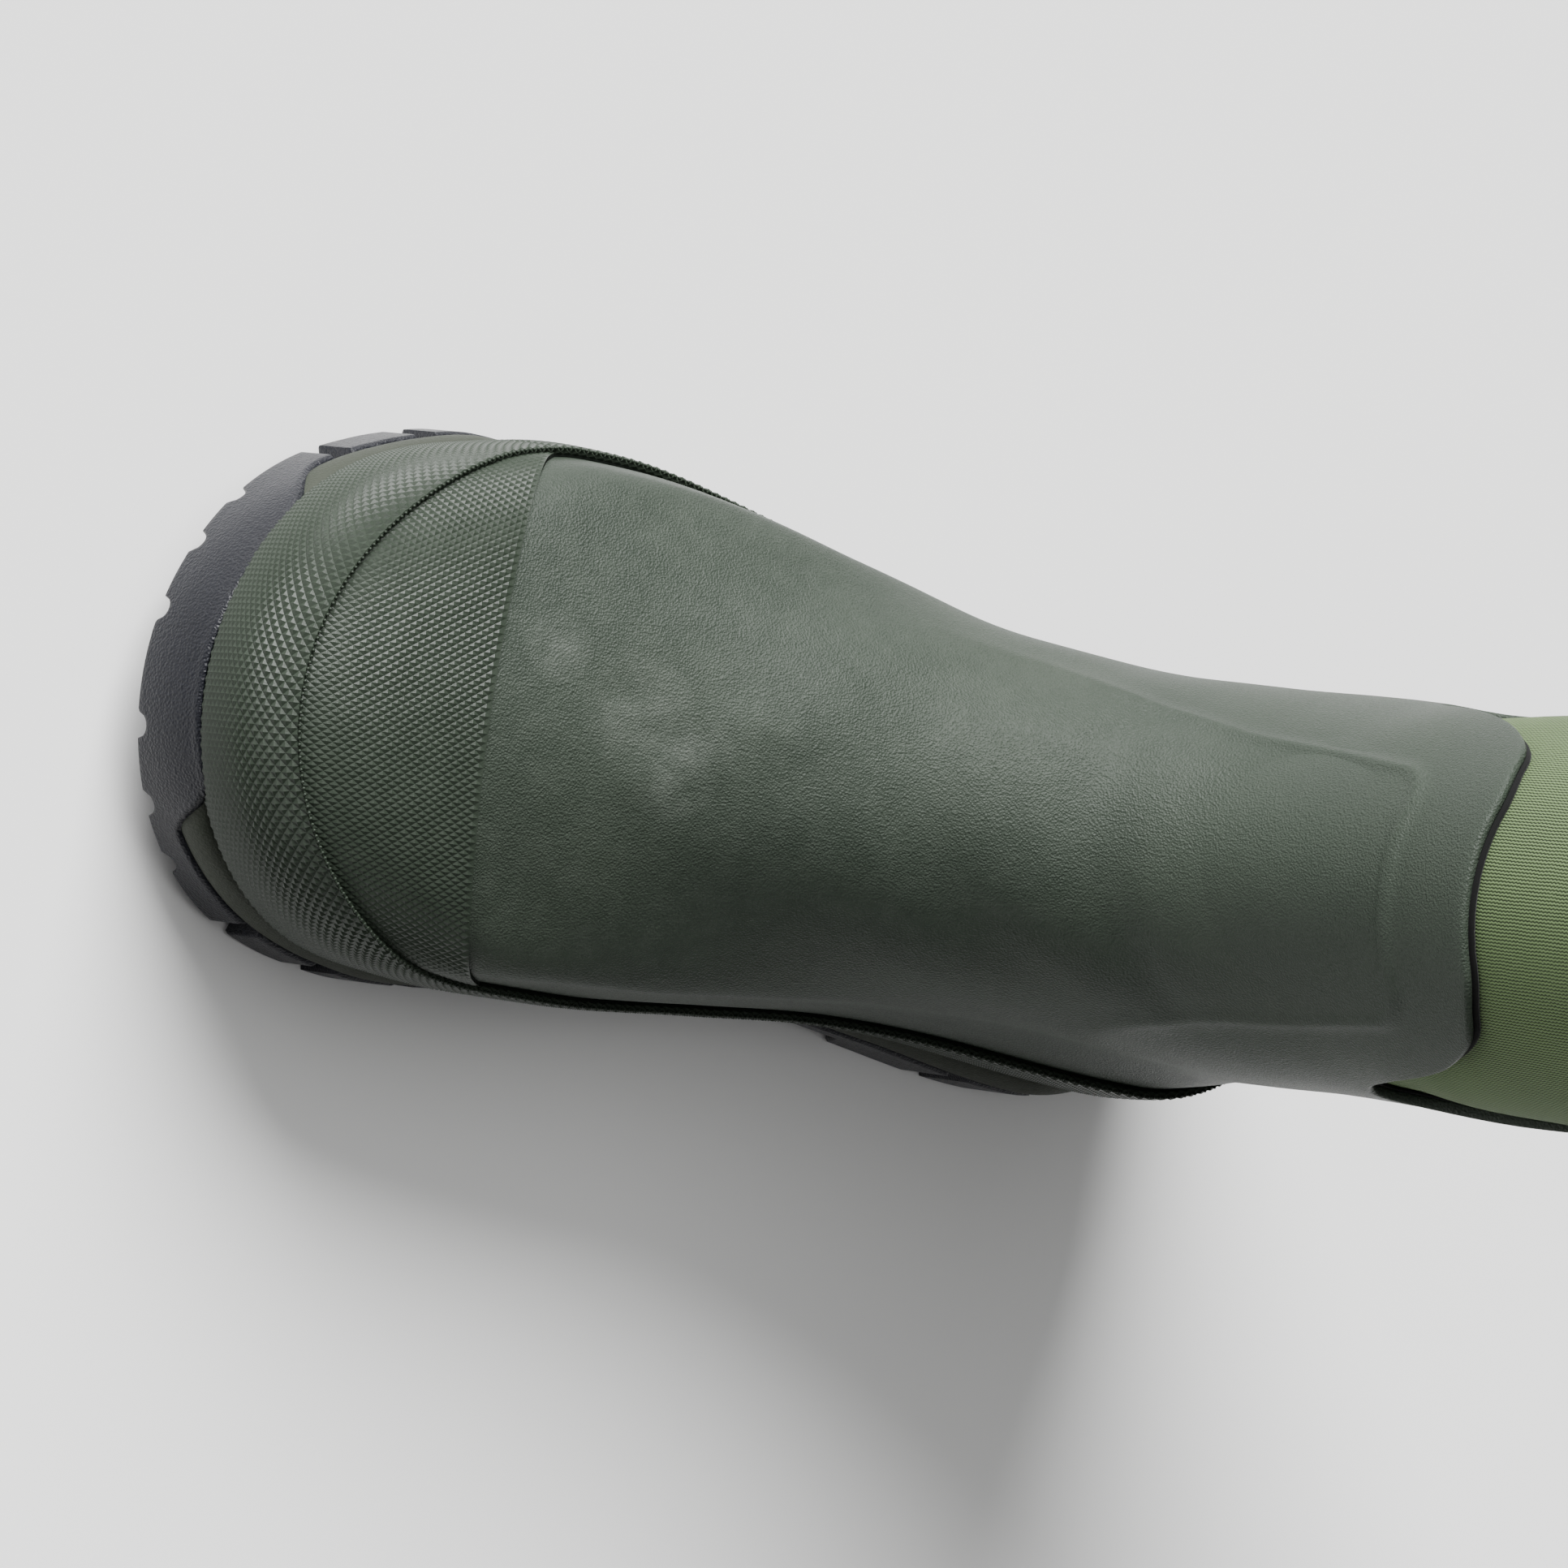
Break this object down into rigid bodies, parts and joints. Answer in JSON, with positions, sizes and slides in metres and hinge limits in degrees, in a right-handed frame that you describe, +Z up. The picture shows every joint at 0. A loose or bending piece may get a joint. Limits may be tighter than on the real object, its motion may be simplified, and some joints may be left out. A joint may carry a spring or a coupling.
{
  "type": "rubber boot",
  "caption": "Right rubber boot with a textured toe cap and foxing bands, a smooth instep, a lugged sole with a toe bumper, and a soft knit-faced shaft open at the collar.",
  "frame": {"origin": "on the floor under the middle of the heel, on the flat face of the tread", "axes": "+X towards the toe, +Y towards the wearer's inner side, +Z up along the shaft"},
  "size_m": [0.3114, 0.119, 0.39],
  "materials": {
    "sole_rubber": "satin",
    "band_rubber": "satin",
    "footbed": "matt",
    "upper_rubber": "leather-grained satin",
    "textured_rubber": "fine diamond texture",
    "neoprene": "fine knit"
  },
  "bodies": {
    "root": {"outsole": "sole_rubber", "midsole": "band_rubber", "insole": "footbed", "upper": "upper_rubber", "toe_cap": "textured_rubber", "toe_foxing": "textured_rubber", "side_foxing": "textured_rubber", "shaft": "neoprene"}
  },
  "joints": []
}
